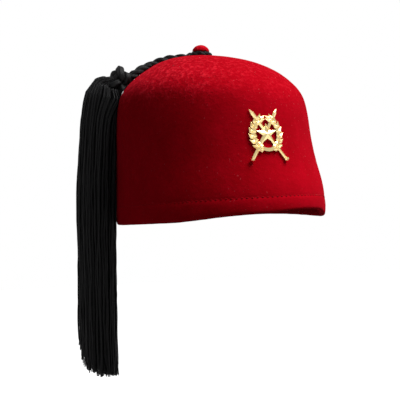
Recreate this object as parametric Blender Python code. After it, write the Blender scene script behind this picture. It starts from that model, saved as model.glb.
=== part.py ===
"""A felt fez with a covered button, a twisted cord, a knot, a tassel and a pierced metal badge.

Units are metres. +Z is up. The front of the hat faces -Y, so the wearer's right hand is at -X.
The origin is the middle of the head opening, in the mean plane of the rim.
A bearing is the way that the wall faces in plan, in degrees: 0 is the front, 90 the wearer's
right, 180 the back and 270 the wearer's left.
"""

import math
from collections import namedtuple

import bmesh
import bpy
from mathutils import Matrix, Vector

MM = 0.001
GAP = 0.3 * MM  # left between pieces that touch

# Felt crown
RIM_HALF_LENGTH = 102 * MM  # outside, front to back, for a head 570 mm round
RIM_HALF_WIDTH = 85 * MM
CROWN_HEIGHT = 142 * MM
FELT = 2.5 * MM
SLOUCH = 17.5 * MM  # how far the middle of the top lies off the middle of the rim
SLOUCH_BEARING = 118.0
HEM_HEIGHT = 15.5 * MM  # the felt is turned in below this and stitched
HEM_GROOVE = 0.6 * MM  # how deep the stitching pulls the felt in
HEM_GROOVE_HALF_WIDTH = 1.3 * MM
RIM_LIFT = 2.4 * MM  # the highest wave of the rim
RIM_LIFT_REACH = 0.22  # share of the crown's height over which the waves fade out
CROWN_STEPS = 60

# The crown's level sections. Height is a share of CROWN_HEIGHT, width a share of both half sizes
# of the rim, and lean a share of SLOUCH.
Section = namedtuple("Section", "height width lean")
CROWN_SECTIONS = [
    Section(0.000, 1.000, 0.00),
    Section(0.060, 1.008, 0.00),
    Section(0.130, 1.002, 0.00),
    Section(0.200, 0.993, 0.01),
    Section(0.270, 0.976, 0.06),
    Section(0.360, 0.958, 0.12),
    Section(0.480, 0.943, 0.17),
    Section(0.600, 0.930, 0.20),
    Section(0.690, 0.910, 0.23),
    Section(0.750, 0.874, 0.29),
    Section(0.800, 0.818, 0.35),
    Section(0.850, 0.740, 0.40),
    Section(0.895, 0.638, 0.46),
    Section(0.930, 0.538, 0.54),
    Section(0.960, 0.420, 0.70),
    Section(0.980, 0.305, 0.86),
    Section(0.993, 0.190, 0.96),
    Section(1.000, 0.080, 1.00),
]

# The rim's waves. Lift is a share of RIM_LIFT.
Wave = namedtuple("Wave", "bearing lift")
RIM_WAVES = [
    Wave(-62, -0.30),
    Wave(-38, 2.10),
    Wave(-25, 2.20),
    Wave(20, 1.05),
    Wave(70, -0.10),
    Wave(120, 0.20),
    Wave(180, 0.30),
    Wave(240, 2.10),
]

# Soft swells and dents of the felt. Height is a share of CROWN_HEIGHT, spread and rise say how far
# each one reaches, and push is how far it moves the wall out.
Dent = namedtuple("Dent", "bearing height spread rise push")
DENTS = [
    Dent(62, 0.83, 42, 0.09, 2.6 * MM),
    Dent(-50, 0.47, 28, 0.16, -1.0 * MM),
    Dent(25, 0.60, 20, 0.18, -0.8 * MM),
    Dent(195, 0.72, 30, 0.12, 1.6 * MM),
    Dent(255, 0.50, 26, 0.20, -1.2 * MM),
]

# Button near the middle of the top, with the cord's loop round its neck
BUTTON_RADIUS = 7.7 * MM
BUTTON_NECK_RADIUS = 4.6 * MM
BUTTON_HEIGHT = 12.0 * MM
BUTTON_BEARING = 246.0  # from the highest point of the crown, a little to the back
BUTTON_ROW = 16.18  # place between the rows of CROWN_SECTIONS
BUTTON_STEPS = 32
LOOP_THICKNESS = 5.2 * MM
LOOP_STEPS = 28
LOOP_SIDES = 10

# Twisted cord from the loop, over the back of the crown, to the knot. Its route is chosen by hand,
# and each point lies half the cord's thickness and a little more off the felt.
CORD_THICKNESS = 7.0 * MM
CORD_SAMPLES = 25
CORD_SIDES_LEVEL = 3
Place = namedtuple("Place", "x y z")
CORD_ROUTE = [
    (-0.0049, 0.0270, 0.1445),
    (-0.0072, 0.0312, 0.1440),
    (-0.0106, 0.0338, 0.1439),
    (-0.0147, 0.0352, 0.1437),
    (-0.0202, 0.0366, 0.1433),
    (-0.0252, 0.0382, 0.1424),
    (-0.0297, 0.0400, 0.1412),
    (-0.0340, 0.0413, 0.1397),
    (-0.0384, 0.0416, 0.1380),
    (-0.0430, 0.0410, 0.1364),
    (-0.0476, 0.0399, 0.1345),
    (-0.0520, 0.0392, 0.1323),
    (-0.0566, 0.0396, 0.1295),
]

# Knot that ties the tassel, pressed flat on the shoulder of the crown
KNOT_RADIUS = 11.2 * MM
KNOT_HALF_THICKNESS = 7.8 * MM
KNOT_BEARING = 114.0
KNOT_HEIGHT = 0.846  # share of CROWN_HEIGHT at which it rests
KNOT_GROOVE = 1.6 * MM
KNOT_TURNS = 5
KNOT_STEPS = 30
KNOT_RINGS = 14

# Tassel
TASSEL_LENGTH = 250 * MM  # from the knot to the longest end
TASSEL_DIP_DEGREES = 15.0  # how far below level it leaves the knot
TASSEL_HALF_THICKNESS = 16.2 * MM
TASSEL_HALF_WIDTH = 18.5 * MM
TASSEL_TIP = 14 * MM  # over which the locks part
TASSEL_STAGGER = 13 * MM  # how much shorter the outermost locks end
TASSEL_LOCKS = 18
TASSEL_FLUTE = 0.13  # how deep the furrows between locks are, as a share of the half sizes

# The tassel's sections, from the knot down. Out is a share of the way from its start to the line
# just clear of the crown that it would hang on, drop a share of TASSEL_LENGTH, and thick and wide
# shares of its half sizes.
Hang = namedtuple("Hang", "out drop thick wide")
TASSEL_SECTIONS = [
    Hang(0.00, 0.000, 0.33, 0.33),
    Hang(0.21, 0.004, 0.45, 0.44),
    Hang(0.36, 0.015, 0.64, 0.58),
    Hang(0.45, 0.037, 0.79, 0.73),
    Hang(0.54, 0.068, 0.85, 0.81),
    Hang(0.64, 0.108, 0.88, 0.86),
    Hang(0.75, 0.163, 0.91, 0.91),
    Hang(0.86, 0.250, 0.94, 0.95),
    Hang(0.95, 0.340, 0.97, 0.98),
    Hang(1.00, 0.490, 0.99, 1.00),
    Hang(1.03, 0.650, 1.00, 1.00),
    Hang(1.09, 0.810, 1.01, 1.01),
    Hang(1.13, 0.925, 1.00, 0.99),
]

# Badge on the front: a laurel wreath round a star on two crossed swords
BADGE_HEIGHT = 0.470  # share of CROWN_HEIGHT at its middle
BADGE_BEARING = 2.8
BADGE_STANDOFF = 0.4 * MM
BADGE_SPAN_STEPS = 6  # pieces that a long straight part of the badge is bent in
WREATH_HALF_WIDTH = 11.3 * MM  # to the middle of the stem
WREATH_HALF_HEIGHT = 12.8 * MM
WREATH_OPEN_DEGREES = 27.0  # each side of the top that has no stem
WREATH_STEM_WIDTH = 2.8 * MM
WREATH_STEM_THICKNESS = 1.1 * MM
WREATH_STEM_STEPS = 26
LEAF_PAIRS = 8
LEAF_LENGTH = 7.0 * MM
LEAF_WIDTH = 3.6 * MM
LEAF_THICKNESS = 2.0 * MM
LEAF_FOOT_DEGREES = 16.0  # from the foot of the hoop to its first pair of leaves
LEAF_HEAD_DEGREES = 10.0  # from the last pair to the stem's end
LEAF_TIP_DEGREES = 4.0  # from the single leaf at the top to the stem's end
LEAF_SPLAY_DEGREES = 24.0
STAR_RADIUS = 8.9 * MM
STAR_INNER_SHARE = 0.42
STAR_EDGE = 1.3 * MM
STAR_PEAK = 3.0 * MM
STAR_POINTS = 5
SWORD_POMMEL = (14.6 * MM, -20.6 * MM)  # of the sword whose hilt is at the right, from the middle
SWORD_TIP = (-12.4 * MM, 20.6 * MM)
BLADE_WIDTH = 2.8 * MM
BLADE_THICKNESS = 1.5 * MM
BLADE_POINT = 4.0 * MM
GRIP_LENGTH = 8.5 * MM
GRIP_WIDTH = 2.3 * MM
GUARD_LENGTH = 8.2 * MM
GUARD_WIDTH = 1.6 * MM
GUARD_THICKNESS = 1.8 * MM
POMMEL_RADIUS = 1.8 * MM
SWORD_BACK = 0.15 * MM  # how much less deep than the star's the backs of the others lie
STEM_BACK = 0.3 * MM
LEAF_BACK = 0.45 * MM
POST_RADIUS = 1.25 * MM
POST_STEPS = 16
POST_OVERHANG = 1.2 * MM  # past the nut
NUT_RADIUS = 4.5 * MM
NUT_THICKNESS = 2.2 * MM

# Colours, roughness and metallic value of each finish
FINISHES = {
    "red_felt": ((0.45, 0.004, 0.012, 1.0), 0.95, 0.0),
    "black_cord": ((0.008, 0.008, 0.009, 1.0), 0.6, 0.0),
    "gilt_brass": ((0.83, 0.62, 0.22, 1.0), 0.28, 1.0),
}


def clear_scene():
    for item in list(bpy.data.objects):
        bpy.data.objects.remove(item)


def finish(name):
    """The material of that name, made the first time that it is asked for."""
    material = bpy.data.materials.get(name)
    if material is None:
        colour, roughness, metallic = FINISHES[name]
        material = bpy.data.materials.new(name)
        material.use_nodes = True
        shader = material.node_tree.nodes["Principled BSDF"]
        shader.inputs["Base Color"].default_value = colour
        shader.inputs["Roughness"].default_value = roughness
        shader.inputs["Metallic"].default_value = metallic
    return material


def add_object(name, shape, finish_name, smooth_degrees=None):
    """An object in the scene from a bmesh, whose faces are turned outwards first."""
    bmesh.ops.recalc_face_normals(shape, faces=shape.faces)
    mesh = bpy.data.meshes.new(name)
    shape.to_mesh(mesh)
    shape.free()
    if smooth_degrees is not None:
        mesh.shade_smooth()
        mesh.set_sharp_from_angle(angle=math.radians(smooth_degrees))
    item = bpy.data.objects.new(name, mesh)
    item.data.materials.append(finish(finish_name))
    bpy.context.scene.collection.objects.link(item)
    return item


def add_cutter(name, shape):
    """A helper that a Boolean reads and that isn't part of the hat."""
    item = add_object(name, shape, "gilt_brass")
    item.hide_render = True
    item.display_type = "WIRE"
    return item


def blend_rows(rows, at):
    """The row at a place that may lie between two rows, on a smooth curve through them all."""
    last = len(rows) - 1
    first = min(max(int(math.floor(at)), 0), last - 1)
    share = min(max(at - first, 0.0), 1.0)
    before, start, end, after = (rows[min(max(first + step, 0), last)] for step in (-1, 0, 1, 2))
    values = []
    for p0, p1, p2, p3 in zip(before, start, end, after):
        bend = 2 * p0 - 5 * p1 + 4 * p2 - p3
        sway = 3 * (p1 - p2) + p3 - p0
        values.append(p1 + 0.5 * share * (p2 - p0 + share * (bend + share * sway)))
    return type(rows[0])(*values)


def plan_direction(bearing):
    radians = math.radians(bearing)
    return Vector((-math.sin(radians), -math.cos(radians), 0.0))


def bearing_apart(one, other):
    """The smaller angle between two bearings, in degrees."""
    return abs((one - other + 180.0) % 360.0 - 180.0)


def rim_wave(bearing):
    """The rim's lift at a bearing, eased from each row of RIM_WAVES to the next one round."""
    count = len(RIM_WAVES)
    for index in range(count):
        start, end = RIM_WAVES[index], RIM_WAVES[(index + 1) % count]
        span = (end.bearing - start.bearing) % 360.0
        along = (bearing - start.bearing) % 360.0
        if along <= span:
            share = 0.5 - 0.5 * math.cos(math.pi * along / span)
            return RIM_LIFT * (start.lift + share * (end.lift - start.lift))
    raise ValueError("the rim's waves don't go all the way round")


def crown_point(bearing, row):
    """A point on the outside of the felt, at a place in CROWN_SECTIONS that may lie between rows."""
    section = blend_rows(CROWN_SECTIONS, row)
    radians = math.radians(bearing)
    around = math.atan2(
        RIM_HALF_WIDTH * math.sin(radians), RIM_HALF_LENGTH * math.cos(radians)
    )
    point = Vector(
        (
            -RIM_HALF_WIDTH * section.width * math.sin(around),
            -RIM_HALF_LENGTH * section.width * math.cos(around),
            CROWN_HEIGHT * section.height,
        )
    )
    point += plan_direction(SLOUCH_BEARING) * SLOUCH * section.lean
    fade = max(0.0, 1.0 - section.height / RIM_LIFT_REACH)
    point.z += rim_wave(bearing) * fade * fade
    for dent in DENTS:
        aside = bearing_apart(bearing, dent.bearing) / dent.spread
        above = (section.height - dent.height) / dent.rise
        point += plan_direction(bearing) * dent.push * math.exp(-aside * aside - above * above)
    return point


def crown_normal(bearing, row):
    turn, climb = 0.5, 0.02
    low = max(row - climb, 0.0)
    high = min(row + climb, len(CROWN_SECTIONS) - 1.0)
    up = crown_point(bearing, high) - crown_point(bearing, low)
    round_it = crown_point(bearing + turn, row) - crown_point(bearing - turn, row)
    normal = up.cross(round_it).normalized()
    return normal if normal.dot(plan_direction(bearing) + Vector((0, 0, 1))) > 0 else -normal


def row_at(share):
    """The place in CROWN_SECTIONS whose height is that share of the crown's."""
    low, high = 0.0, len(CROWN_SECTIONS) - 1.0
    for _ in range(40):
        middle = (low + high) / 2
        if blend_rows(CROWN_SECTIONS, middle).height < share:
            low = middle
        else:
            high = middle
    return (low + high) / 2


def crown_ring(shape, row, inset):
    """A ring of vertices round the crown, that far inside the outer surface."""
    ring = []
    for step in range(CROWN_STEPS):
        bearing = 360.0 * step / CROWN_STEPS
        place = crown_point(bearing, row) - crown_normal(bearing, row) * inset
        ring.append(shape.verts.new(place))
    return ring


def bridge(shape, one, other):
    """Quads between two rings of as many vertices."""
    count = len(one)
    for step in range(count):
        after = (step + 1) % count
        shape.faces.new((one[step], one[after], other[after], other[step]))


def fan(shape, ring, middle):
    """Triangles from a ring to one vertex."""
    count = len(ring)
    for step in range(count):
        shape.faces.new((ring[step], ring[(step + 1) % count], middle))


def ring_middle(ring):
    return sum((vert.co for vert in ring), Vector()) / len(ring)


def hem_stations():
    """(row, inset) of the rings from the groove of the hem down, round the rim and up inside it."""
    hem = 2 * FELT
    rounding = FELT * (1 - math.sqrt(0.5))
    heights = [
        (HEM_HEIGHT + HEM_GROOVE_HALF_WIDTH, 0.0),
        (HEM_HEIGHT, HEM_GROOVE),
        (HEM_HEIGHT - HEM_GROOVE_HALF_WIDTH, 0.0),
        ((HEM_HEIGHT + FELT) / 2, 0.0),
        (FELT, 0.0),
        (rounding, rounding),
        (0.0, FELT),
        (rounding, hem - rounding),
        (FELT, hem),
        ((HEM_HEIGHT + FELT) / 2, hem),
        (HEM_HEIGHT - FELT / 2, hem),
        (HEM_HEIGHT, hem - FELT / 2),
        (HEM_HEIGHT + HEM_GROOVE_HALF_WIDTH, FELT),
    ]
    return [(row_at(height / CROWN_HEIGHT), inset) for height, inset in heights]


def make_crown():
    """One felt shell: the outside from the top down, the turned hem, and the inside back up."""
    shape = bmesh.new()
    top = len(CROWN_SECTIONS) - 1
    hem = hem_stations()
    above_hem = [row for row in range(top, 0, -1) if row > hem[0][0] + 0.3]
    stations = [(row, 0.0) for row in above_hem]
    stations += hem
    stations += [(row, FELT) for row in reversed(above_hem[::2])]
    rings = [crown_ring(shape, row, inset) for row, inset in stations]
    for one, other in zip(rings, rings[1:]):
        bridge(shape, one, other)
    for ring in (rings[0], rings[-1]):
        fan(shape, ring, shape.verts.new(ring_middle(ring)))
    crown = add_object("felt_crown", shape, "red_felt", smooth_degrees=50)
    hole = crown.modifiers.new("post_hole", "BOOLEAN")
    hole.object = make_post_hole()
    return crown


def lathe(shape, profile, steps, place):
    """A turned solid. The profile runs from the axis round to the axis, as (radius, height)."""
    rings = []
    for radius, height in profile[1:-1]:
        ring = []
        for step in range(steps):
            angle = 2 * math.pi * step / steps
            spot = Vector((radius * math.cos(angle), radius * math.sin(angle), height))
            ring.append(shape.verts.new(place @ spot))
        rings.append(ring)
    for one, other in zip(rings, rings[1:]):
        bridge(shape, one, other)
    for ring, (_, height) in ((rings[0], profile[0]), (rings[-1], profile[-1])):
        fan(shape, ring, shape.verts.new(place @ Vector((0, 0, height))))


def frame_on(point, normal, upwards=Vector((0, 0, 1))):
    """A matrix with its origin at the point, Z along the normal and Y as near upwards as it can be."""
    across = upwards.cross(normal)
    if across.length < 1e-3:
        across = Vector((0, -1, 0)).cross(normal)
    across.normalize()
    up = normal.cross(across)
    turn = Matrix((across, up, normal)).transposed().to_4x4()
    return Matrix.Translation(point) @ turn


def button_seat():
    """The frame on the top of the crown where the button stands."""
    point = crown_point(BUTTON_BEARING, BUTTON_ROW)
    return frame_on(point, crown_normal(BUTTON_BEARING, BUTTON_ROW))


def loop_radius():
    return BUTTON_NECK_RADIUS + GAP + LOOP_THICKNESS / 2


def make_button():
    """The covered button: a neck that the cord's loop lies round, under a domed head."""
    shape = bmesh.new()
    half = LOOP_THICKNESS / 2
    around = half + GAP
    middle = loop_radius()
    profile = [(0.0, GAP), (BUTTON_NECK_RADIUS, GAP), (BUTTON_NECK_RADIUS, GAP + half)]
    for degrees in (150, 125, 104):
        angle = math.radians(degrees)
        height = GAP + half + around * math.sin(angle)
        profile.append((middle + around * math.cos(angle), height))
    under = profile[-1][1]
    rise = BUTTON_HEIGHT - under
    for degrees in (8, 24, 42, 60, 76):
        angle = math.radians(degrees)
        profile.append((BUTTON_RADIUS * math.cos(angle), under + rise * math.sin(angle)))
    profile.append((0.0, BUTTON_HEIGHT))
    lathe(shape, profile, BUTTON_STEPS, button_seat())
    add_object("button", shape, "red_felt", smooth_degrees=60)


def make_loop():
    """The loop of the cord that lies round the button's neck."""
    place = button_seat() @ Matrix.Translation((0, 0, GAP + LOOP_THICKNESS / 2))
    bpy.ops.mesh.primitive_torus_add(
        major_radius=loop_radius(),
        minor_radius=LOOP_THICKNESS / 2,
        major_segments=LOOP_STEPS,
        minor_segments=LOOP_SIDES,
    )
    loop = bpy.context.object
    loop.name = loop.data.name = "cord_loop"
    loop.matrix_world = place
    loop.data.materials.append(finish("black_cord"))
    loop.data.shade_smooth()


def make_cord():
    """The cord, as a plain tube through points read from a smooth curve through the route."""
    curve = bpy.data.curves.new("tassel_cord", "CURVE")
    curve.dimensions = "3D"
    curve.bevel_depth = CORD_THICKNESS / 2
    curve.bevel_resolution = CORD_SIDES_LEVEL
    curve.use_fill_caps = True
    line = curve.splines.new("POLY")
    line.points.add(CORD_SAMPLES - 1)
    for index, point in enumerate(line.points):
        at = index * (len(CORD_ROUTE) - 1) / (CORD_SAMPLES - 1)
        place = blend_rows([Place(*spot) for spot in CORD_ROUTE], at)
        point.co = (*place, 1.0)
    cord = bpy.data.objects.new("tassel_cord", curve)
    curve.materials.append(finish("black_cord"))
    bpy.context.scene.collection.objects.link(cord)


def knot_frame():
    """The frame of the knot: Z off the felt, Y up the slope, and the origin in its middle."""
    row = row_at(KNOT_HEIGHT)
    normal = crown_normal(KNOT_BEARING, row)
    middle = crown_point(KNOT_BEARING, row) + normal * (KNOT_HALF_THICKNESS + GAP)
    return frame_on(middle, normal)


def make_knot():
    """The knot: a flattened ball with slanting furrows between its turns of cord."""
    shape = bmesh.new()
    place = knot_frame()
    squash = KNOT_HALF_THICKNESS / KNOT_RADIUS
    rings = []
    for level in range(1, KNOT_RINGS):
        polar = math.pi * level / KNOT_RINGS
        ring = []
        for step in range(KNOT_STEPS):
            angle = 2 * math.pi * step / KNOT_STEPS
            furrow = abs(math.sin(KNOT_TURNS * (angle / 2 + polar / 2)))
            depth = KNOT_GROOVE * (1 - furrow) ** 2 * math.sin(polar) ** 2
            radius = KNOT_RADIUS - depth
            spot = Vector(
                (
                    radius * math.sin(polar) * math.cos(angle),
                    radius * math.cos(polar),
                    radius * math.sin(polar) * math.sin(angle) * squash,
                )
            )
            ring.append(shape.verts.new(place @ spot))
        rings.append(ring)
    for one, other in zip(rings, rings[1:]):
        bridge(shape, one, other)
    for ring, way in ((rings[0], 1), (rings[-1], -1)):
        fan(shape, ring, shape.verts.new(place @ Vector((0, way * KNOT_RADIUS, 0))))
    add_object("knot", shape, "black_cord", smooth_degrees=80)


def tassel_start():
    """(place, way) of the tassel's start, in a plane that just clears the knot."""
    dip = math.radians(TASSEL_DIP_DEGREES)
    way = plan_direction(KNOT_BEARING) * math.cos(dip) - Vector((0, 0, math.sin(dip)))
    frame = knot_frame()
    local = frame.to_3x3().transposed() @ way
    reach = math.hypot(local.x * KNOT_RADIUS, local.y * KNOT_RADIUS, local.z * KNOT_HALF_THICKNESS)
    return frame.translation + way * (reach + GAP), way


def hang_distance():
    """How far out of the tassel's start it would hang straight, clear of the widest wall."""
    out = plan_direction(KNOT_BEARING)
    rows = [index / 2 for index in range(2 * len(CROWN_SECTIONS) - 1)]
    widest = max(crown_point(KNOT_BEARING, row).dot(out) for row in rows)
    return widest + GAP + TASSEL_HALF_THICKNESS - tassel_start()[0].dot(out)


def tassel_axis(at):
    """(place, section) of the tassel's middle line at a place in TASSEL_SECTIONS."""
    section = blend_rows(TASSEL_SECTIONS, at)
    out = plan_direction(KNOT_BEARING) * hang_distance() * section.out
    return tassel_start()[0] + out - Vector((0, 0, TASSEL_LENGTH * section.drop)), section


def tassel_ring_places(at):
    """The outline of the tassel at a place in TASSEL_SECTIONS: four points to a lock, and a shorter
    ring inside it, one point to a furrow. A lock's first point is its furrow."""
    place, section = tassel_axis(at)
    last = len(TASSEL_SECTIONS) - 1
    ahead, _ = tassel_axis(min(at + 0.2, last))
    behind, _ = tassel_axis(max(at - 0.2, 0.0))
    heading = tassel_start()[1] if at == 0 else (ahead - behind).normalized()
    wide_way = Vector((0, 0, 1)).cross(plan_direction(KNOT_BEARING)).normalized()
    thick_way = wide_way.cross(heading).normalized()
    outline, core = [], []
    for lock in range(TASSEL_LOCKS):
        for part, depth in enumerate((TASSEL_FLUTE, 0.02, 0.0, 0.02)):
            angle = 2 * math.pi * (lock + part / 4) / TASSEL_LOCKS
            across = section.wide * TASSEL_HALF_WIDTH * math.cos(angle)
            outward = section.thick * TASSEL_HALF_THICKNESS * math.sin(angle)
            offset = wide_way * across + thick_way * outward
            outline.append(place + offset * (1 - depth))
            if part == 0:
                core.append(place + offset * 0.45)
    return outline, core


def make_tassel():
    """The tassel's outer form: locks side by side down the whole skirt, which part at their ends."""
    shape = bmesh.new()
    last = len(TASSEL_SECTIONS) - 1
    rings = []
    for step in range(last + 1):
        outline, core = tassel_ring_places(float(step))
        rings.append([shape.verts.new(spot) for spot in outline])
    for one, other in zip(rings, rings[1:]):
        bridge(shape, one, other)
    fan(shape, rings[0], shape.verts.new(ring_middle(rings[0])))
    inner = [shape.verts.new(spot) for spot in core]
    fan(shape, inner, shape.verts.new(ring_middle(inner)))
    bottom = rings[-1]
    for lock in range(TASSEL_LOCKS):
        after = (lock + 1) % TASSEL_LOCKS
        edge = [bottom[(4 * lock + part) % len(bottom)] for part in range(5)]
        edge += [inner[after], inner[lock]]
        outward = math.sin(2 * math.pi * (lock + 0.5) / TASSEL_LOCKS)
        drop = TASSEL_TIP - TASSEL_STAGGER * (0.5 + 0.5 * outward)
        drop = max(drop, 0.25 * TASSEL_TIP) * (1.0 if lock % 2 else 0.82)
        middle = sum((vert.co for vert in edge), Vector()) / len(edge)
        low = []
        for vert in edge:
            spot = middle + (vert.co - middle) * 0.72
            spot.z -= drop
            low.append(shape.verts.new(spot))
        bridge(shape, edge, low)
        shape.faces.new(low)
    add_object("tassel", shape, "black_cord", smooth_degrees=70)


def badge_frame():
    """The frame on the front of the crown at the badge's middle: X to its right, Y up the wall."""
    row = row_at(BADGE_HEIGHT)
    return frame_on(crown_point(BADGE_BEARING, row), crown_normal(BADGE_BEARING, row))


def on_wall(spot):
    """Where a point of the flat badge, (right, up, out), goes when the badge is bent to the wall."""
    section = blend_rows(CROWN_SECTIONS, row_at(BADGE_HEIGHT))
    bend = section.width * RIM_HALF_WIDTH**2 / RIM_HALF_LENGTH
    bearing = BADGE_BEARING - math.degrees(spot[0] / bend)
    row = row_at(BADGE_HEIGHT + spot[1] / CROWN_HEIGHT)
    return crown_point(bearing, row) + crown_normal(bearing, row) * (BADGE_STANDOFF + spot[2])


def add_hull(shape, spots):
    """A convex solid through these points of the flat badge, bent to the wall."""
    verts = [shape.verts.new(on_wall(spot)) for spot in spots]
    made = bmesh.ops.convex_hull(shape, input=verts, use_existing_faces=False)
    loose = [item for item in made["geom_interior"] if isinstance(item, bmesh.types.BMVert)]
    bmesh.ops.delete(shape, geom=loose, context="VERTS")


def add_swept(shape, stations):
    """A closed bar through cross-sections of as many points each, bent to the wall."""
    rings = [[shape.verts.new(on_wall(spot)) for spot in station] for station in stations]
    for one, other in zip(rings, rings[1:]):
        bridge(shape, one, other)
    shape.faces.new(rings[0])
    shape.faces.new(rings[-1])


def along(start, way, distance, aside=0.0, out=0.0):
    """(right, up, out) at a distance along a direction of the flat badge, and aside from it."""
    return (
        start[0] + way[0] * distance - way[1] * aside,
        start[1] + way[1] * distance + way[0] * aside,
        out,
    )


def steps_between(first, last, count):
    return [first + (last - first) * index / count for index in range(count + 1)]


def add_sword(shape, side):
    """One sword, from its pommel up to its point. Side is 1 or -1, for the hilt's side."""
    start = (side * SWORD_POMMEL[0], SWORD_POMMEL[1])
    reach = (side * SWORD_TIP[0] - start[0], SWORD_TIP[1] - start[1])
    length = math.hypot(*reach)
    way = (reach[0] / length, reach[1] / length)
    guard = POMMEL_RADIUS + GRIP_LENGTH
    blade = [(-0.5, 0.0), (-0.5, 0.35), (0.0, 1.0), (0.5, 0.35), (0.5, 0.0)]
    stations = []
    for distance in steps_between(guard, length - BLADE_POINT, BADGE_SPAN_STEPS):
        station = [
            along(start, way, distance, aside * BLADE_WIDTH, SWORD_BACK + out * BLADE_THICKNESS)
            for aside, out in blade
        ]
        stations.append(station)
    tip = [
        along(start, way, length, aside * BLADE_WIDTH * 0.15, SWORD_BACK + out * BLADE_THICKNESS * 0.6)
        for aside, out in blade
    ]
    add_swept(shape, stations + [tip])
    grip = [(-0.5, 0.0), (-0.5, 0.6), (-0.2, 1.1), (0.2, 1.1), (0.5, 0.6), (0.5, 0.0)]
    stations = []
    for distance in steps_between(POMMEL_RADIUS * 0.5, guard + GUARD_WIDTH / 2, 2):
        station = [
            along(start, way, distance, aside * GRIP_WIDTH, (out + 0.2) * BLADE_THICKNESS)
            for aside, out in grip
        ]
        stations.append(station)
    add_swept(shape, stations)
    bar = [(-0.5, 0.0), (-0.5, 0.6), (-0.2, 1.0), (0.2, 1.0), (0.5, 0.6), (0.5, 0.0)]
    stations = []
    for aside in steps_between(-GUARD_LENGTH / 2, GUARD_LENGTH / 2, 2):
        station = [
            along(start, way, guard + share * GUARD_WIDTH, aside, SWORD_BACK / 2 + out * GUARD_THICKNESS)
            for share, out in bar
        ]
        stations.append(station)
    add_swept(shape, stations)
    ball = []
    for turn in range(8):
        angle = math.pi * turn / 4
        for share, out in ((0.7, 0.0), (1.0, 0.8), (0.6, 1.6)):
            radius = POMMEL_RADIUS * share
            right = start[0] + radius * math.cos(angle)
            ball.append((right, start[1] + radius * math.sin(angle), out * POMMEL_RADIUS))
    add_hull(shape, ball)


def wreath_point(degrees, side):
    """(spot, way) on the wreath's stem, degrees up from its foot. Way points along the stem."""
    angle = math.radians(degrees)
    spot = (side * WREATH_HALF_WIDTH * math.sin(angle), -WREATH_HALF_HEIGHT * math.cos(angle))
    way = (side * WREATH_HALF_WIDTH * math.cos(angle), WREATH_HALF_HEIGHT * math.sin(angle))
    length = math.hypot(*way)
    return spot, (way[0] / length, way[1] / length)


def add_leaf(shape, start, way, turn_degrees):
    angle = math.atan2(way[1], way[0]) + math.radians(turn_degrees)
    way = (math.cos(angle), math.sin(angle))
    half = LEAF_WIDTH / 2
    widest = 0.42 * LEAF_LENGTH
    spots = [
        along(start, way, 0.0, 0.0, LEAF_BACK + 0.1 * LEAF_THICKNESS),
        along(start, way, LEAF_LENGTH, 0.0, LEAF_BACK + 0.3 * LEAF_THICKNESS),
        along(start, way, widest, -half, LEAF_BACK + 0.4 * LEAF_THICKNESS),
        along(start, way, widest, half, LEAF_BACK + 0.4 * LEAF_THICKNESS),
        along(start, way, widest, 0.0, LEAF_BACK + LEAF_THICKNESS),
        along(start, way, widest, 0.0, LEAF_BACK),
    ]
    add_hull(shape, spots)


def add_wreath(shape):
    """The stem of both sprays as one open hoop, and its leaves in pairs up each side."""
    top = 180.0 - WREATH_OPEN_DEGREES
    stations = []
    for degrees in steps_between(-top, top, WREATH_STEM_STEPS):
        side = 1 if degrees >= 0 else -1
        spot, way = wreath_point(abs(degrees), side)
        station = []
        for aside, out in ((-0.5, 0.0), (0.5, 0.0), (0.5, 1.0), (-0.5, 1.0)):
            height = STEM_BACK + out * WREATH_STEM_THICKNESS
            station.append(along(spot, way, 0.0, side * aside * WREATH_STEM_WIDTH, height))
        stations.append(station)
    add_swept(shape, stations)
    for side in (-1, 1):
        for degrees in steps_between(LEAF_FOOT_DEGREES, top - LEAF_HEAD_DEGREES, LEAF_PAIRS - 1):
            spot, way = wreath_point(degrees, side)
            for turn in (-LEAF_SPLAY_DEGREES, LEAF_SPLAY_DEGREES):
                add_leaf(shape, spot, way, turn)
        add_leaf(shape, *wreath_point(top - LEAF_TIP_DEGREES, side), 0.0)


def add_star(shape):
    """A faceted star whose peak covers the crossing of the swords."""
    rims = ([], [])
    for index in range(2 * STAR_POINTS):
        radius = STAR_RADIUS * (STAR_INNER_SHARE if index % 2 else 1.0)
        angle = math.pi / 2 + math.pi * index / STAR_POINTS
        for rim, out in zip(rims, (0.0, STAR_EDGE)):
            spot = (radius * math.cos(angle), radius * math.sin(angle), out)
            rim.append(shape.verts.new(on_wall(spot)))
    bridge(shape, *rims)
    for rim, out in zip(rims, (0.0, STAR_PEAK)):
        fan(shape, rim, shape.verts.new(on_wall((0.0, 0.0, out))))


def post_length():
    return BADGE_STANDOFF + FELT + GAP + NUT_THICKNESS + POST_OVERHANG


def make_post_hole():
    """What cuts the badge's post hole through the felt."""
    shape = bmesh.new()
    depth = 3 * FELT
    radius = POST_RADIUS + GAP
    profile = [(0.0, -depth), (radius, -depth), (radius, depth), (0.0, depth)]
    lathe(shape, profile, POST_STEPS, badge_frame())
    return add_cutter("post_hole_cutter", shape)


def make_badge():
    """The cast badge with the post that is soldered to its back, all one solid."""
    place = badge_frame()
    post_shape = bmesh.new()
    profile = [
        (0.0, -post_length() + BADGE_STANDOFF),
        (POST_RADIUS, -post_length() + BADGE_STANDOFF),
        (POST_RADIUS, BADGE_STANDOFF + STAR_EDGE / 2),
        (0.0, BADGE_STANDOFF + STAR_EDGE / 2),
    ]
    lathe(post_shape, profile, POST_STEPS, place)
    post = add_cutter("post_form", post_shape)
    shape = bmesh.new()
    add_wreath(shape)
    add_star(shape)
    for side in (-1, 1):
        add_sword(shape, side)
    badge = add_object("badge", shape, "gilt_brass", smooth_degrees=20)
    joined = badge.modifiers.new("one_casting", "BOOLEAN")
    joined.operation = "UNION"
    joined.object = post
    joined.use_self = True


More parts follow.
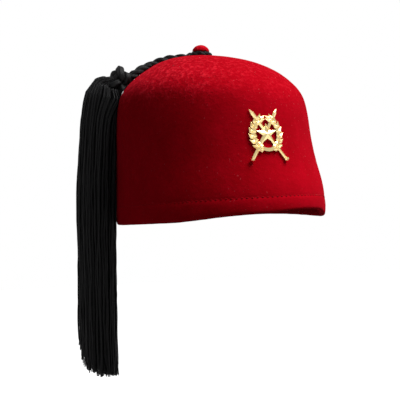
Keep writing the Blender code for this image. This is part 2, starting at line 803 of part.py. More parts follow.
def make_nut():
    """The plain round nut on the post, inside the crown."""
    shape = bmesh.new()
    place = badge_frame()
    near = -FELT - GAP
    far = near - NUT_THICKNESS
    bore = POST_RADIUS + GAP
    corners = [(bore, near), (NUT_RADIUS, near), (NUT_RADIUS, far), (bore, far)]
    rings = []
    for radius, height in corners:
        ring = []
        for step in range(POST_STEPS):
            angle = 2 * math.pi * step / POST_STEPS
            spot = Vector((radius * math.cos(angle), radius * math.sin(angle), height))
            ring.append(shape.verts.new(place @ spot))
        rings.append(ring)
    for one, other in zip(rings, rings[1:] + rings[:1]):
        bridge(shape, one, other)
    add_object("badge_nut", shape, "gilt_brass", smooth_degrees=40)


def main():
    clear_scene()
    make_crown()
    make_button()
    make_loop()
    make_cord()
    make_knot()
    make_tassel()
    make_badge()
    make_nut()


main()
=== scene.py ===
"""Looks of the fez: the felt crown, its button, the black cord, knot and tassel, and the gilt badge."""

import math
import random

import bpy
import numpy as np
from mathutils import Matrix, Vector, noise
from mathutils.bvhtree import BVHTree


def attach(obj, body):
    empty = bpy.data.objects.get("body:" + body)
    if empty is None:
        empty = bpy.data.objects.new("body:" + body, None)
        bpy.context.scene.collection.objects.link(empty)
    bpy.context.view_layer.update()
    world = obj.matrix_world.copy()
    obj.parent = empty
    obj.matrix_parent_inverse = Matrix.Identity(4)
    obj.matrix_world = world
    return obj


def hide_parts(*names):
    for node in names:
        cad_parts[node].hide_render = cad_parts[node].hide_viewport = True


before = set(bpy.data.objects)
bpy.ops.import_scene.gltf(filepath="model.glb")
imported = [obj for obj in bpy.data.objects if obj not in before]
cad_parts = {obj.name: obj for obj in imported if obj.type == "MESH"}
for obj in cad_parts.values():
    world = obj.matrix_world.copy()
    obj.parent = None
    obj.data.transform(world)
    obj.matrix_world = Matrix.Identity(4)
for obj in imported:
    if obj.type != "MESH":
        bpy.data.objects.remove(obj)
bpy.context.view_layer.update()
MM = 0.001


# Camera: level with the rim and a little below it, 28 degrees round from the badge towards the
# wearer's right, with a long lens. The picture leans a little, as the photograph does.
CAMERA_DISTANCE = 1.4
CAMERA_TURN = math.radians(-28)
CAMERA_RISE = math.radians(-1.5)
CAMERA_ROLL = math.radians(2.8)
PICTURE_WIDTH = 0.3423

picture_right = Vector((math.cos(CAMERA_TURN), math.sin(CAMERA_TURN), 0))
away = Vector((-math.sin(CAMERA_TURN), math.cos(CAMERA_TURN), 0))
aim = picture_right * -0.0162 + Vector((0, 0, 0.0188))
look = away * math.cos(CAMERA_RISE) - Vector((0, 0, math.sin(CAMERA_RISE)))
level_up = picture_right.cross(look)
camera_up = level_up * math.cos(CAMERA_ROLL) + picture_right * math.sin(CAMERA_ROLL)
camera_right = look.cross(camera_up)
camera = bpy.data.objects.new("camera", bpy.data.cameras.new("camera"))
bpy.context.collection.objects.link(camera)
camera.matrix_world = Matrix.Translation(aim - look * CAMERA_DISTANCE) @ Matrix(
    (camera_right, camera_up, -look)
).transposed().to_4x4()
camera.data.sensor_width = 36
camera.data.lens = 36 * CAMERA_DISTANCE / PICTURE_WIDTH
camera.data.clip_end = 50
bpy.context.scene.camera = camera


# Black cord over the crown: two plies of twisted silk, 7 mm thick on the mean, from the loop round the
# button to the knot. It lies on the felt behind the ridge, along the route that the CAD solid has.
CORD_ROUTE = [
    (-0.0049, 0.0270, 0.1445),
    (-0.0072, 0.0312, 0.1440),
    (-0.0106, 0.0338, 0.1439),
    (-0.0147, 0.0352, 0.1437),
    (-0.0202, 0.0366, 0.1433),
    (-0.0252, 0.0382, 0.1424),
    (-0.0297, 0.0400, 0.1412),
    (-0.0340, 0.0413, 0.1397),
    (-0.0384, 0.0416, 0.1380),
    (-0.0430, 0.0410, 0.1364),
    (-0.0476, 0.0399, 0.1345),
    (-0.0520, 0.0392, 0.1323),
    (-0.0566, 0.0396, 0.1295),
]
CORD_WIDEST = 8 * MM  # over both plies
CORD_TURN = 19.5 * MM
PLY_SHARE = 0.65  # of a cord's widest, for each ply
PLY_RIBS = 5
PLY_RIB_DEPTH = 0.16
RIB_TURN_SHARE = 0.8  # of the turn of the plies
LINE_STEP = 0.6 * MM
FELT_GAP = 0.2 * MM


class Channel:
    """One output of a finish's nodes. Arithmetic on it adds Math nodes."""

    def __init__(self, finish, socket):
        self.finish = finish
        self.socket = socket

    def math(self, operation, *values):
        return self.finish.node("ShaderNodeMath", {"operation": operation}, dict(enumerate(values)))

    def __add__(self, other):
        return self.math("ADD", self, other)

    def __sub__(self, other):
        return self.math("SUBTRACT", self, other)

    def __mul__(self, other):
        return self.math("MULTIPLY", self, other)

    def __truediv__(self, other):
        return self.math("DIVIDE", self, other)


class Finish:
    """A material on one Principled shader. Constants stand on the shader's own sockets."""

    def __init__(self, name, **constants):
        self.material = bpy.data.materials.new(name)
        self.material.use_nodes = True
        self.tree = self.material.node_tree
        self.shader = self.tree.nodes["Principled BSDF"]
        for socket, value in constants.items():
            self.shader.inputs[socket.replace("_", " ")].default_value = value

    def put(self, socket, value):
        if isinstance(value, Channel):
            self.tree.links.new(value.socket, socket)
        else:
            socket.default_value = value

    def node(self, kind, settings, values, output=0):
        node = self.tree.nodes.new(kind)
        for setting, value in settings.items():
            setattr(node, setting, value)
        for socket, value in values.items():
            self.put(node.inputs[socket], value)
        return Channel(self, node.outputs[output])

    def noise(self, size, detail=2.0, roughness=0.5, vector=None):
        """Noise whose patches are about `size` metres across, in object space unless told."""
        values = {"Scale": 1 / size, "Detail": detail, "Roughness": roughness}
        values["Vector"] = vector or self.node("ShaderNodeTexCoord", {}, {}, "Object")
        return self.node("ShaderNodeTexNoise", {}, values)

    def ramp(self, value, low, high, start=0.0, end=1.0):
        """Eases from start to end while value goes from low to high."""
        ends = {0: value, 1: low, 2: high, 3: start, 4: end}
        return self.node("ShaderNodeMapRange", {"interpolation_type": "SMOOTHSTEP"}, ends)

    def part(self, vector, axis):
        """One axis of a vector: 0, 1 or 2."""
        return self.node("ShaderNodeSeparateXYZ", {}, {0: vector}, axis)

    def mix(self, share, first, second):
        return self.node("ShaderNodeMix", {"data_type": "RGBA"}, {0: share, 6: first, 7: second}, 2)

    def bump(self, height, depth, strength=1.0, under=None):
        """A Bump node whose height of 0 to 1 stands for `depth` metres."""
        values = {"Height": height, "Distance": depth, "Strength": strength}
        if under:
            values["Normal"] = under
        return self.node("ShaderNodeBump", {}, values)

    def finish(self, **channels):
        for socket, value in channels.items():
            self.put(self.shader.inputs[socket.replace("_", " ")], value)
        return self.material


def smooth_line(points, step, closed=False):
    """Points every `step` metres along a smooth curve through the given points."""
    points = np.array(points, dtype=float)
    if closed:
        ends = [points[-1:], points, points[:2]]
    else:
        ends = [2 * points[:1] - points[1:2], points, 2 * points[-1:] - points[-2:-1]]
    padded = np.concatenate(ends)
    share = np.linspace(0, 1, 24, endpoint=False)[:, None]
    fine = []
    for a, b, c, d in zip(padded, padded[1:], padded[2:], padded[3:]):
        bend = 2 * a - 5 * b + 4 * c - d
        curl = 3 * (b - c) + d - a
        fine.append(b + 0.5 * share * (c - a + share * (bend + share * curl)))
    fine = np.concatenate(fine + [padded[-2:-1]])
    along = np.concatenate([[0], np.cumsum(np.linalg.norm(np.diff(fine, axis=0), axis=1))])
    count = max(int(round(along[-1] / step)), 2)
    marks = np.linspace(0, along[-1], count + 1)
    return np.stack([np.interp(marks, along, fine[:, axis]) for axis in range(3)], axis=1)


def sides_of(line, closed=False):
    """Two directions square to a line at each of its points, turning as little as they can."""
    heading = np.gradient(line, axis=0)
    if closed:
        heading[0] = heading[-1] = line[1] - line[-2]
    heading /= np.linalg.norm(heading, axis=1)[:, None]
    first = np.cross(heading[0], [0.3, 0.2, 1.0])
    sides = []
    for way in heading:
        first = first - way * np.dot(first, way)
        first = first / np.linalg.norm(first)
        sides.append(first)
    sides = np.array(sides)
    return sides, np.cross(heading, sides)


class Threads:
    """Many tubes laid along lines, made into one mesh with a UV map: round it, and metres along."""

    def __init__(self):
        self.points, self.faces, self.maps, self.count = [], [], [], 0

    def lay(self, line, radii, around, closed=False, ribs=0, rib_turn=0.0, rib_depth=0.0):
        """A tube with rings of `around` points. Ribs run round it once in each rib_turn metres."""
        line = np.array(line)
        side, other = sides_of(line, closed)
        along = np.concatenate([[0], np.cumsum(np.linalg.norm(np.diff(line, axis=0), axis=1))])
        angle = 2 * math.pi * np.arange(around) / around
        thick = np.broadcast_to(np.array(radii, dtype=float).reshape(-1, 1), (len(line), around))
        if ribs:
            turn = 2 * math.pi * along[:, None] / rib_turn
            thick = thick * (1 - rib_depth * (1 - np.abs(np.cos((ribs * angle + turn) / 2))))
        ring = side[:, None] * np.cos(angle)[:, None] + other[:, None] * np.sin(angle)[:, None]
        points = line[:, None] + ring * thick[..., None]
        self.points.append(points.reshape(-1, 3))
        rows = np.arange(len(line) - 1)[:, None] * around
        here = np.arange(around)[None, :]
        after = (here + 1) % around
        quads = np.stack([rows + here, rows + after, rows + around + after, rows + around + here], -1)
        self.faces += (quads.reshape(-1, 4) + self.count).tolist()
        low, high = along[:-1, None] + 0 * here, along[1:, None] + 0 * here
        left, right = (here + 0 * rows) / around, (here + 1 + 0 * rows) / around
        corners = [(left, low), (right, low), (right, high), (left, high)]
        self.maps.append(np.stack([np.stack(c, -1) for c in corners], 2).reshape(-1, 2))
        if not closed:
            first = self.count + np.arange(around)
            last = first + (len(line) - 1) * around
            self.faces += [first[::-1].tolist(), last.tolist()]
            self.maps.append(np.zeros((around, 2)))
            self.maps.append(np.full((around, 2), [0.0, along[-1]]))
        self.count += len(line) * around

    def piece(self, name, material, merge=False):
        mesh = bpy.data.meshes.new(name)
        mesh.from_pydata(np.concatenate(self.points).tolist(), [], self.faces)
        layer = mesh.uv_layers.new(name="thread")
        layer.data.foreach_set("uv", np.concatenate(self.maps).ravel())
        mesh.materials.append(material)
        piece = bpy.data.objects.new(name, mesh)
        bpy.context.collection.objects.link(piece)
        bpy.ops.object.select_all(action="DESELECT")
        bpy.context.view_layer.objects.active = piece
        piece.select_set(True)
        if merge:
            bpy.ops.object.mode_set(mode="EDIT")
            bpy.ops.mesh.select_all(action="SELECT")
            bpy.ops.mesh.remove_doubles(threshold=1e-6)
            bpy.ops.object.mode_set(mode="OBJECT")
        bpy.ops.object.shade_smooth_by_angle(angle=math.radians(50))
        piece.select_set(False)
        return piece


def twist_plies(threads, line, diameter, turn, closed=False, phase=0.0, around=24):
    """Lays the two plies of a cord, each a bundle of yarns twisted against the cord's own twist."""
    side, other = sides_of(line, closed)
    along = np.concatenate([[0], np.cumsum(np.linalg.norm(np.diff(line, axis=0), axis=1))])
    radius = diameter / 2 * PLY_SHARE
    reach = diameter / 2 - radius
    slip = 0.0
    if closed:
        turn = along[-1] / round(along[-1] / turn)
        slip = math.atan2(np.dot(side[-1], other[0]), np.dot(side[-1], side[0]))
    for ply in (0, 1):
        angle = 2 * math.pi * along / turn + math.pi * ply + phase - slip * along / along[-1]
        offset = side * np.cos(angle)[:, None] + other * np.sin(angle)[:, None]
        rib_turn = -turn * RIB_TURN_SHARE
        threads.lay(line + offset * reach, radius, around, closed, PLY_RIBS, rib_turn, PLY_RIB_DEPTH)


felt_skin = BVHTree.FromObject(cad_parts["felt_crown"], bpy.context.evaluated_depsgraph_get())


def lay_on_felt(piece, way, gap):
    """Presses a piece flat where it would sink into the felt, looking at the felt along `way`."""
    for vertex in piece.data.vertices:
        place = vertex.co
        hit = felt_skin.ray_cast(place + way * 0.05, -way, 0.05 + gap)[0]
        if hit:
            vertex.co = hit + way * gap
    piece.data.update()


FIBRES_ROUND = 34
FIBRE_TURN = 1.5 * MM

silk = Finish(
    "black_silk_cord",
    Specular_IOR_Level=0.14,
    Sheen_Weight=0.02,
    Sheen_Roughness=0.4,
    Sheen_Tint=(0.8, 0.8, 0.85, 1),
)
silk_map = silk.node("ShaderNodeUVMap", {"uv_map": "thread"}, {})
fibre_wave = silk.part(silk_map, 0) * FIBRES_ROUND + silk.part(silk_map, 1) / FIBRE_TURN
fibres = fibre_wave.math("SINE", fibre_wave * 2 * math.pi) * 0.5 + 0.5
fuzz = silk.noise(0.35 * MM, 3)
dust = silk.ramp(silk.noise(9 * MM, 3), 0.62, 0.78)
black = silk.mix(dust, (0.0030, 0.0030, 0.0034, 1), (0.0060, 0.0060, 0.0064, 1))
silk_relief = silk.bump(fibres * 0.6 + fuzz * 0.8, 0.14 * MM, 0.8)
black_silk = silk.finish(
    Base_Color=black, Roughness=silk.ramp(fuzz, 0.3, 0.7, 0.36, 0.55), Normal=silk_relief
)

cord_line = smooth_line(CORD_ROUTE, LINE_STEP)
cord_threads = Threads()
twist_plies(cord_threads, cord_line, CORD_WIDEST, CORD_TURN, phase=0.6)
cord = cord_threads.piece("cord", black_silk)
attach(cord, "root")
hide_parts("tassel_cord")


# Loop of the same cord round the neck of the button. Its ends are tucked under the button.
BUTTON_SEAT = Matrix(
    (
        (-0.4064, -0.9082, 0.1002, -0.0024),
        (0.9137, -0.4039, 0.0446, 0.0161),
        (0.0000, 0.1097, 0.9940, 0.1412),
        (0, 0, 0, 1),
    )
)
LOOP_RADIUS = 7.5 * MM
LOOP_DIAMETER = 5.2 * MM
LOOP_RISE = 2.9 * MM
LOOP_TURN = 13 * MM
LOOP_STEPS = 90

loop_line = []
for step in range(LOOP_STEPS + 1):
    angle = 2 * math.pi * step / LOOP_STEPS
    place = Vector((LOOP_RADIUS * math.cos(angle), LOOP_RADIUS * math.sin(angle), LOOP_RISE))
    loop_line.append(BUTTON_SEAT @ place)
loop_threads = Threads()
twist_plies(loop_threads, np.array(loop_line), LOOP_DIAMETER, LOOP_TURN, closed=True)
cord_loop = loop_threads.piece("loop_round_button", black_silk, merge=True)
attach(cord_loop, "root")
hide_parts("cord_loop")


# Knot that ties the tassel to the cord: an overhand knot in the same cord, pulled tight against the
# felt at the wearer's right. Its three turns show as lobes.
KNOT_FRAME = Matrix(
    (
        (-0.4268, 0.6434, -0.6355, -0.0678),
        (-0.9043, -0.3037, 0.3000, 0.0418),
        (0.0000, 0.7027, 0.7114, 0.1259),
        (0, 0, 0, 1),
    )
)
KNOT_SCALE = 3.0 * MM
KNOT_DEPTH = 4.3 * MM
KNOT_LOBE = math.radians(35)
KNOT_PRESS = 0.84
KNOT_DIAMETER = 10.4 * MM
KNOT_TURN = 19 * MM
KNOT_STEPS = 240
KNOT_SAG = (-0.0006, 0.0003, -0.0012)
KNOT_LEAN = (0.0016, -0.0009, -0.0044)  # of its near side, over the edge of the crown
TUCK = (-0.0022, -0.0042, -0.0012)  # from the cord to its doubled end, which is tucked under it
TUCK_DIAMETER = 6.4 * MM
TUCK_TURN = 15 * MM
ENTRY_DIAMETER = 8.2 * MM
ENTRY_SKIP = 6  # steps at the start of the entry, where the cord itself is

knot_centre = KNOT_FRAME.translation
off_felt = KNOT_FRAME.col[2].to_3d()
tilt = KNOT_LOBE - math.radians(90)
knot_line = []
for step in range(KNOT_STEPS):
    turn = 2 * math.pi * step / KNOT_STEPS
    across = math.sin(turn) + 2 * math.sin(2 * turn)
    upward = math.cos(turn) - 2 * math.cos(2 * turn)
    flat_x = KNOT_SCALE * (across * math.cos(tilt) - upward * math.sin(tilt))
    flat_z = KNOT_SCALE * (across * math.sin(tilt) + upward * math.cos(tilt))
    place = picture_right * flat_x + Vector((0, 0, flat_z)) - away * KNOT_DEPTH * math.sin(3 * turn)
    place += off_felt * place.dot(off_felt) * (KNOT_PRESS - 1)
    lean = Vector(KNOT_LEAN) * max(math.sin(3 * turn), 0)
    knot_line.append(knot_centre + place + Vector(KNOT_SAG) + lean)
knot_threads = Threads()
knot_line = smooth_line(knot_line, LINE_STEP, closed=True)
twist_plies(knot_threads, knot_line, KNOT_DIAMETER, KNOT_TURN, closed=True)
entry = [CORD_ROUTE[-2], CORD_ROUTE[-1], knot_centre + picture_right * 5 * MM, knot_centre]
entry_line = smooth_line(entry, LINE_STEP)[ENTRY_SKIP:]
twist_plies(knot_threads, entry_line, ENTRY_DIAMETER, CORD_TURN, phase=1.4)
tucked = [Vector(spot) + Vector(TUCK) for spot in CORD_ROUTE[-5:]] + [knot_centre]
twist_plies(knot_threads, smooth_line(tucked, LINE_STEP), TUCK_DIAMETER, TUCK_TURN, phase=0.3)
knot = knot_threads.piece("knot_of_cord", black_silk, merge=True)
lay_on_felt(knot, off_felt, FELT_GAP)
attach(knot, "root")
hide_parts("knot")


# Tassel: 270 thin twisted silk strands in loose locks. They fan out of the knot, turn over and hang
# straight down past the rim. Their ends are cut uneven, and shorter on the outer side.
# Each row: metres out from the knot's centre, metres down, and half the depth and width there.
TASSEL_ROWS = [
    (0.0050, 0.0004, 0.0036, 0.0042),
    (0.0104, 0.0026, 0.0054, 0.0060),
    (0.0137, 0.0038, 0.0075, 0.0080),
    (0.0161, 0.0065, 0.0106, 0.0106),
    (0.0176, 0.0120, 0.0129, 0.0134),
    (0.0190, 0.0198, 0.0139, 0.0149),
    (0.0206, 0.0298, 0.0144, 0.0158),
    (0.0225, 0.0435, 0.0147, 0.0168),
    (0.0246, 0.0653, 0.0151, 0.0176),
    (0.0263, 0.0878, 0.0156, 0.0181),
    (0.0276, 0.1253, 0.0158, 0.0185),
    (0.0285, 0.1653, 0.0158, 0.0185),
    (0.0297, 0.2053, 0.0158, 0.0187),
    (0.0308, 0.2530, 0.0156, 0.0183),
]
TASSEL_WAY = Vector((-0.9135, 0.4067, 0))
STRAND_RADIUS = 0.78 * MM
STRANDS = 270
STRAND_SPREAD = 0.42  # less than 0.5 puts more strands near the skin
HEAD_SHARE = 0.05  # of a strand, which has the first 18 of its 48 rings
LOCKS = 18
LOCK_PULL = 0.2
LOCK_GROOVE = 0.04
LOCK_STEP = 0.7 * MM  # between the ends of the locks
LOCK_GATHER = 0.8  # how far the strands of a lock close up at their ends
LOCK_SWAY = 1.1 * MM
LOCK_SWAYS = 22  # in a metre
STRAND_SWAY = 0.9 * MM
STRAND_SWAYS = 60
FREE_FROM = 0.06  # metres along, where the strands sway as much as they can
TIP = 12 * MM  # the length that frays
TIP_FLARE = 1.6 * MM
TIP_THINNING = 0.45
PAST_LAST_ROW = 3 * MM
RAGGED = 5 * MM
SHORT_STRANDS = 0.06
SHORT_BY = (4 * MM, 12 * MM)
OUTER_SLOPE = 6 * MM  # cut off the outer half
OUTER_EDGE = 20 * MM  # and off the outermost strands too
NEAR_SWELL = (0, 5.8 * MM, 5.8 * MM, 3.6 * MM)  # how far the near strands lie over the crown's edge
NEAR_MARKS = (0, 0.040, 0.095, 0.150)  # and where, along the tassel
NEAR_EASE = 0.35
HEAD_SWELL = 13 * MM  # and how much further they do below the knot
HEAD_REACH = (0.0195, 0.0125)  # how far along the tassel, and over how much of it

chance = random.Random(5)
rows = np.array(TASSEL_ROWS)
out_way = np.array(TASSEL_WAY.normalized())
wide_way = np.cross([0, 0, 1], out_way)
row_marks = np.concatenate([[0], np.cumsum(np.hypot(*np.diff(rows[:, :2], axis=0).T))])
hang = np.concatenate([np.linspace(0, HEAD_SHARE, 18, endpoint=False), np.linspace(HEAD_SHARE, 1, 30)])


def tassel_rows(marks):
    """The tassel's middle, its outward and sideways half sizes, at places along it in metres."""
    smooth = smooth_line(np.column_stack([rows[:, 0], rows[:, 1], row_marks]), 1.0 * MM)
    along = np.concatenate([[0], np.cumsum(np.hypot(*np.diff(smooth[:, :2], axis=0).T))])
    out = np.interp(marks, along, smooth[:, 0])
    down = np.interp(marks, along, smooth[:, 1])
    thick = np.interp(np.interp(marks, along, smooth[:, 2]), row_marks, rows[:, 2])
    wide = np.interp(np.interp(marks, along, smooth[:, 2]), row_marks, rows[:, 3])
    return out, down, thick, wide


tassel_length = row_marks[-1]
tassel_threads = Threads()
for strand in range(STRANDS):
    share = (strand + 0.5) / STRANDS
    polar = strand * math.pi * (3 - math.sqrt(5))
    depth = share ** STRAND_SPREAD
    lock = math.floor(LOCKS * polar / (2 * math.pi) + 0.5)
    lock_angle = 2 * math.pi * lock / LOCKS
    angle = polar - LOCK_PULL * math.sin(polar - lock_angle)
    deep = depth * (1.0 - LOCK_GROOVE * abs(math.sin((polar - lock_angle) * LOCKS / 2)))
    high = math.sin(angle) * deep
    aside = math.cos(angle) * deep
    cut = tassel_length + PAST_LAST_ROW - chance.uniform(0, RAGGED) - LOCK_STEP * (5 * lock % 7)
    cut -= OUTER_SLOPE * min(max(high + 0.2, 0) / 0.7, 1)
    cut -= OUTER_EDGE * max((high - 0.5) / 0.5, 0) ** 1.6
    if chance.random() < SHORT_STRANDS:
        cut -= chance.uniform(*SHORT_BY)
    marks = cut * hang
    out, down, thick, wide = tassel_rows(marks)
    heading = np.stack([np.gradient(out), np.gradient(down)], 1)
    heading /= np.linalg.norm(heading, axis=1)[:, None]
    seed = Vector((lock * 3.7, 0.3, 0.1))
    sway = np.array(
        [
            [
                noise.noise(seed + Vector((0, mark * LOCK_SWAYS, 5))),
                noise.noise(seed + Vector((9, mark * LOCK_SWAYS, 2))),
                noise.noise(Vector((strand * 1.9, mark * STRAND_SWAYS, 7))),
                noise.noise(Vector((strand * 2.3, mark * STRAND_SWAYS, 3))),
            ]
            for mark in marks
        ]
    )
    free = np.clip(marks / FREE_FROM, 0, 1) * depth
    tip = np.clip((marks - cut + TIP) / TIP, 0, 1) ** 2
    flare = (chance.uniform(-TIP_FLARE, TIP_FLARE), chance.uniform(-TIP_FLARE, TIP_FLARE))
    offset = high * thick + (sway[:, 0] * LOCK_SWAY + sway[:, 2] * STRAND_SWAY) * free
    beside = aside * wide + (sway[:, 1] * LOCK_SWAY + sway[:, 3] * STRAND_SWAY) * free
    near = np.clip(aside + NEAR_EASE, 0, 1) * np.clip(NEAR_EASE - high, 0, 1)
    swell = np.interp(marks, NEAR_MARKS, NEAR_SWELL)
    swell = swell + HEAD_SWELL * np.exp(-(((marks - HEAD_REACH[0]) / HEAD_REACH[1]) ** 2))
    offset = offset + tip * flare[0] - near * swell
    beside = beside + tip * flare[1]
    gather = LOCK_GATHER * tip * depth
    offset = offset + gather * (math.sin(lock_angle) - math.sin(angle)) * thick
    beside = beside + gather * (math.cos(lock_angle) - math.cos(angle)) * wide
    place_out = out + heading[:, 1] * offset
    place_down = down - heading[:, 0] * offset
    line = np.array(knot_centre) + place_out[:, None] * out_way + beside[:, None] * wide_way
    line[:, 2] -= place_down
    radius = STRAND_RADIUS * chance.uniform(0.88, 1.1) * (1 - TIP_THINNING * tip)
    radius = radius * np.clip(0.45 + marks / 0.025, 0, 1)
    tassel_threads.lay(line, radius, 6)
tassel = tassel_threads.piece("tassel_strands", black_silk)
lay_on_felt(tassel, TASSEL_WAY.normalized(), FELT_GAP)
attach(tassel, "root")
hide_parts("tassel")


# Crown: one cone of red wool felt, blocked wet over a form, brushed to a short pile, and turned in
# at the rim. It is hollow. Handling has left pills along the top edge and pale lint. The pills' pale
# colour is partly a painted sheen: strongest on the shaded side and thinned on the lit side.
def refined_copy(node, name, levels):
    """A copy of a CAD node as quads, its loose triangles merged, and subdivided to a soft form."""
    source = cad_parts[node]
    piece = bpy.data.objects.new(name, source.data.copy())
    bpy.context.collection.objects.link(piece)
    piece.data.materials.clear()
    bpy.ops.object.select_all(action="DESELECT")
    bpy.context.view_layer.objects.active = piece
    piece.select_set(True)
    bpy.ops.object.mode_set(mode="EDIT")
    bpy.ops.mesh.select_all(action="SELECT")
    bpy.ops.mesh.remove_doubles(threshold=1e-5)
    bpy.ops.mesh.tris_convert_to_quads(face_threshold=math.pi, shape_threshold=math.pi)
    bpy.ops.mesh.normals_make_consistent(inside=False)
    bpy.ops.object.mode_set(mode="OBJECT")
    smooth = piece.modifiers.new("smooth", "SUBSURF")
    smooth.levels = levels
    smooth.render_levels = levels
    bpy.ops.object.modifier_apply(modifier="smooth")
    bpy.ops.object.shade_smooth()
    piece.select_set(False)
    return piece


def roughen(piece, size, depth):
    """Moves a piece's skin in and out by soft noise, as pressed wool does."""
    skin = piece.data.vertices
    places = np.empty(len(skin) * 3)
    ways = np.empty(len(skin) * 3)
    skin.foreach_get("co", places)
    piece.data.vertex_normals.foreach_get("vector", ways)
    swells = [
        noise.fractal(Vector(place) / size, 0.9, 2.1, 3) for place in places.reshape(-1, 3).tolist()
    ]
    places = places.reshape(-1, 3) + ways.reshape(-1, 3) * np.array(swells)[:, None] * depth
    skin.foreach_set("co", places.ravel())
    piece.data.update()


wool = Finish(
    "red_wool_felt",
    Roughness=0.95,
    Specular_IOR_Level=0.02,
    Sheen_Weight=0.24,
    Sheen_Roughness=0.5,
    Sheen_Tint=(1.0, 0.025, 0.065, 1),
)
spot = wool.node("ShaderNodeTexCoord", {}, {}, "Object")
height = wool.part(spot, 2)
clouds = wool.noise(17 * MM, 4, 0.6)
tufts = wool.noise(3.4 * MM, 4, 0.62)
fibre = wool.noise(0.6 * MM, 3, 0.7)
nap = wool.ramp(height + (clouds - 0.5) * 0.05, 0.088, 0.128)
speck = wool.ramp(wool.noise(1.5 * MM, 1, 0.4), 0.735, 0.775)
shade = wool.ramp(clouds * 0.6 + tufts * 0.4, 0.3, 0.7)
red = wool.mix(shade, (0.45, 0.0005, 0.0055, 1), (0.56, 0.0009, 0.0100, 1))
red = wool.mix(wool.ramp(fibre, 0.35, 0.8, 0, 0.25), red, (0.64, 0.0030, 0.0160, 1))
# Painted sheen: the pale pills along the top are partly real pilling and partly a painted sheen. They
# show almost fully on the wearer's right, where the felt is in shade, and fade to under half towards the
# lit wearer's left.
towards_left = wool.part(spot, 0) * 0.88 - wool.part(spot, 1) * 0.47
painted_sheen_by_side = wool.ramp(towards_left, -0.045, 0.030, 0.95, 0.40)
pills_and_sheen = wool.ramp(tufts + (fibre - 0.5) * 0.2, 0.46, 0.70)
red = wool.mix(pills_and_sheen * nap * painted_sheen_by_side, red, (0.95, 0.026, 0.046, 1))
red = wool.mix(speck * 0.30, red, (0.75, 0.16, 0.18, 1))
wool_relief = wool.bump(tufts * (nap * 1.3 + 0.35), 1.1 * MM, 0.7)
wool_relief = wool.bump(fibre * (nap + 0.45), 0.30 * MM, 0.6, wool_relief)
red_felt = wool.finish(Base_Color=red, Normal=wool_relief)

crown = refined_copy("felt_crown", "crown_of_felt", 2)
roughen(crown, 7 * MM, 0.12 * MM)
crown.data.materials.append(red_felt)
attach(crown, "root")
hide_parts("felt_crown")


# Hem stitches: a line of small running stitches of red thread, pulled into the felt a finger's width
# above the rim, that hold the turned edge.
STITCHES = 150
STITCH_SHARE = 0.6  # of the way from one stitch to the next
STITCH_LENGTH = 2.3 * MM
STITCH_PARTS = 7
STITCH_RADIUS = 0.32 * MM
STITCH_DEPTH = 0.9 * STITCH_RADIUS
GROOVE_LOW = 11.5 * MM
GROOVE_STEP = 0.3 * MM
GROOVE_STEPS = 34
GROOVE_REACH = 4  # steps to each side, over which the hollow of the groove is measured

hem_skin = BVHTree.FromObject(crown, bpy.context.evaluated_depsgraph_get())
stitch_marks = []
for stitch in range(STITCHES):
    for half in (-STITCH_SHARE / 2, STITCH_SHARE / 2):
        turn = 2 * math.pi * (stitch + half) / STITCHES
        way = Vector((math.cos(turn), math.sin(turn), 0))
        levels = [GROOVE_LOW + GROOVE_STEP * step for step in range(GROOVE_STEPS)]
        hits = [hem_skin.ray_cast(way * 0.15 + Vector((0, 0, level)), -way) for level in levels]
        girth = np.array([hit[0].to_2d().length for hit in hits])
        below, above = girth[: -2 * GROOVE_REACH], girth[2 * GROOVE_REACH :]
        hollow = below + above - 2 * girth[GROOVE_REACH:-GROOVE_REACH]
        stitch_marks.append(hits[int(np.argmax(hollow)) + GROOVE_REACH][:2])
stitch_threads = Threads()
for stitch in range(STITCHES):
    (first, first_out), (last, last_out) = stitch_marks[2 * stitch : 2 * stitch + 2]
    middle = (first + last) / 2 + (first_out + last_out) * 0.5 * STITCH_DEPTH
    arc = [first - first_out * STITCH_DEPTH, middle, last - last_out * STITCH_DEPTH]
    stitch_threads.lay(smooth_line(arc, STITCH_LENGTH / STITCH_PARTS), STITCH_RADIUS, 6)
cotton = Finish(
    "red_thread",
    Roughness=0.75,
    Specular_IOR_Level=0.08,
    Sheen_Weight=0.1,
    Sheen_Tint=(1.0, 0.06, 0.10, 1),
)
cotton_red = cotton.mix(cotton.noise(2 * MM), (0.36, 0.0010, 0.0060, 1), (0.46, 0.0016, 0.0100, 1))
red_thread = cotton.finish(Base_Color=cotton_red, Normal=cotton.bump(cotton.noise(0.3 * MM), 0.1 * MM))
stitches = stitch_threads.piece("hem_stitches", red_thread)
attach(stitches, "root")


# Button: a wooden mould covered in the same felt, sewn to the top of the crown over the loop.
button = refined_copy("button", "felt_button", 2)
roughen(button, 4 * MM, 0.08 * MM)
button.data.materials.append(red_felt)
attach(button, "root")
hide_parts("button")


# Badge: a pierced wreath, star and crossed swords, cast in one in brass, gilt and polished. A post on
# its back goes through the felt, and a round nut holds it inside.
gold = Finish("gilt_brass", Metallic=1.0)
tarnish = gold.ramp(gold.noise(3.2 * MM, 4, 0.6), 0.5, 0.8)
gilt = gold.mix(tarnish, (1.0, 0.79, 0.38, 1), (0.84, 0.56, 0.20, 1))
scuffs = gold.noise(0.5 * MM, 3)
gilt_brass = gold.finish(
    Base_Color=gilt,
    Roughness=gold.ramp(scuffs + tarnish * 0.3, 0.3, 1.0, 0.16, 0.36),
    Normal=gold.bump(gold.noise(1.4 * MM, 2), 0.12 * MM, 0.35),
)
for node in ("badge", "badge_nut"):
    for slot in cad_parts[node].material_slots:
        slot.material = gilt_brass


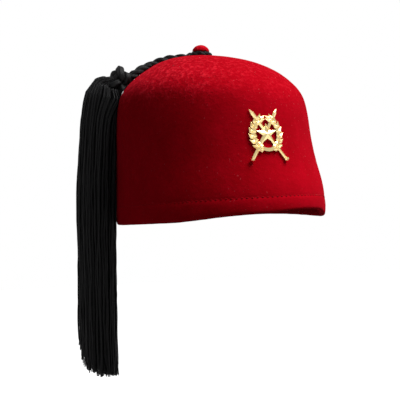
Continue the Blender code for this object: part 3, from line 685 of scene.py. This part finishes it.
# Floor and light: a plain white floor in a white room. A broad sun high at the right lights the top
# and the right of the felt, and the left stays in deep shade. The floor throws no light back on it.
FLOOR_HEIGHT = -0.19
SUN_STRENGTH = 4.0
SUN_WIDTH = math.radians(36)
LIGHT_FOR_CAMERA = 1.0
LIGHT_FOR_GLINTS = 0.62
LIGHT_FOR_REST = 0.11

bpy.ops.object.select_all(action="DESELECT")
bpy.ops.mesh.primitive_circle_add(vertices=96, radius=6, fill_type="NGON", location=(0, 0, FLOOR_HEIGHT))
floor = bpy.context.object
floor.name = "floor"
bpy.ops.object.transform_apply(location=True)
floor.visible_diffuse = False
paper = Finish(
    "white_paper",
    Roughness=0.9,
    Specular_IOR_Level=0.2,
    Emission_Color=(1, 1, 1, 1),
    Emission_Strength=0.18,
)
paper_tone = paper.mix(paper.noise(0.4), (0.84, 0.84, 0.84, 1), (0.86, 0.86, 0.86, 1))
floor.data.materials.append(paper.finish(Base_Color=paper_tone))

sun = bpy.data.objects.new("sun", bpy.data.lights.new("sun", "SUN"))
bpy.context.collection.objects.link(sun)
sun_way = picture_right * 0.50 - away * 0.13 + Vector((0, 0, 0.80))
sun.rotation_euler = sun_way.to_track_quat("Z", "Y").to_euler()
sun.data.energy = SUN_STRENGTH
sun.data.angle = SUN_WIDTH

world = bpy.data.worlds.new("room")
bpy.context.scene.world = world
world.use_nodes = True
room = world.node_tree
light_path = room.nodes.new("ShaderNodeLightPath")
white = room.nodes["Background"]
white.inputs["Color"].default_value = (1, 1, 1, 1)
white.inputs["Strength"].default_value = LIGHT_FOR_REST
light = white.outputs[0]
for ray, strength in (("Is Glossy Ray", LIGHT_FOR_GLINTS), ("Is Camera Ray", LIGHT_FOR_CAMERA)):
    white = room.nodes.new("ShaderNodeBackground")
    white.inputs["Color"].default_value = (1, 1, 1, 1)
    white.inputs["Strength"].default_value = strength
    either = room.nodes.new("ShaderNodeMixShader")
    room.links.new(light_path.outputs[ray], either.inputs[0])
    room.links.new(light, either.inputs[1])
    room.links.new(white.outputs[0], either.inputs[2])
    light = either.outputs[0]
room.links.new(light, room.nodes["World Output"].inputs["Surface"])
bpy.context.scene.view_settings.view_transform = "Standard"
